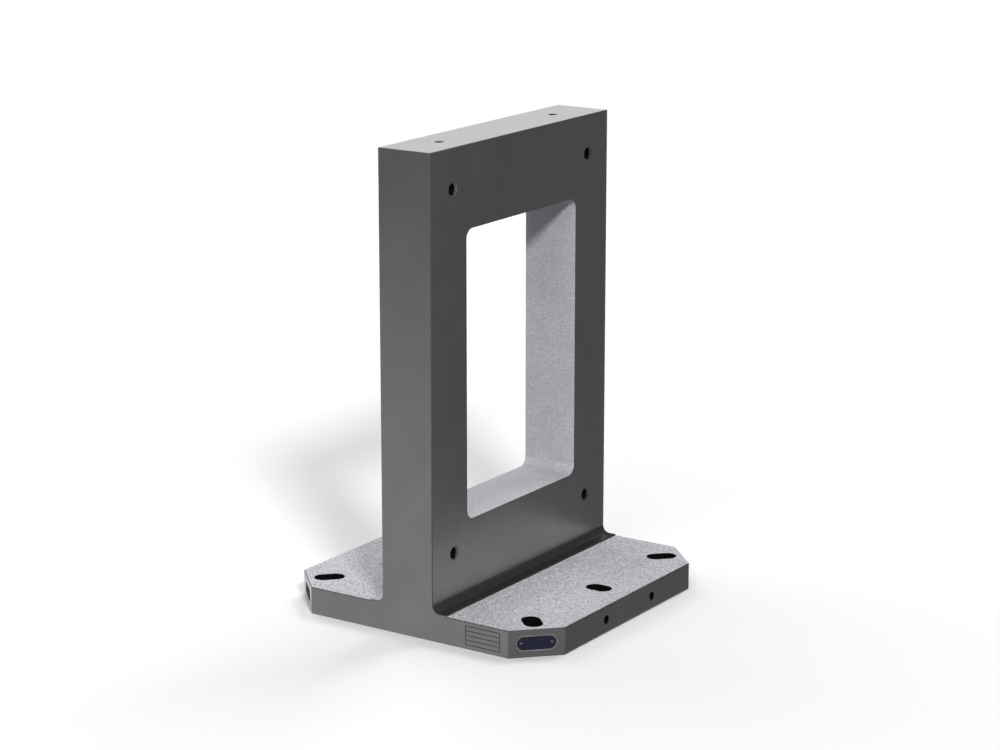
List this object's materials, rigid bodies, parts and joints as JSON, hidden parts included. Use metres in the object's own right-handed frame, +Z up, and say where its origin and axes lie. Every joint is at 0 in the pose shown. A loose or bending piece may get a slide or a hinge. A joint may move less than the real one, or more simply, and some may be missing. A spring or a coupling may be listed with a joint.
{
  "type": "cnc tombstone fixture",
  "caption": "Upright wall fixture for a machining pallet: a thick slab with a large window, standing on a square slotted base with cut corners, with tapped holes.",
  "frame": {"origin": "centre of the base's underside, the face that rests on the pallet", "axes": "+Z up; +X square to the wall's right working face, +Y along the wall to its back end; the name plates are on the two -Y corners"},
  "size_m": [0.4, 0.4, 0.6096],
  "materials": {
    "machined_iron": "milled and ground outside, rough as cast on the base's top and in the window",
    "plate_metal": "dark blue enamelled field with a bright metal rim",
    "rivet_metal": "bright"
  },
  "bodies": {
    "root": {"casting": "machined_iron", "nameplate_right": "plate_metal", "nameplate_left": "plate_metal", "drive_rivets": "rivet_metal"}
  },
  "joints": []
}
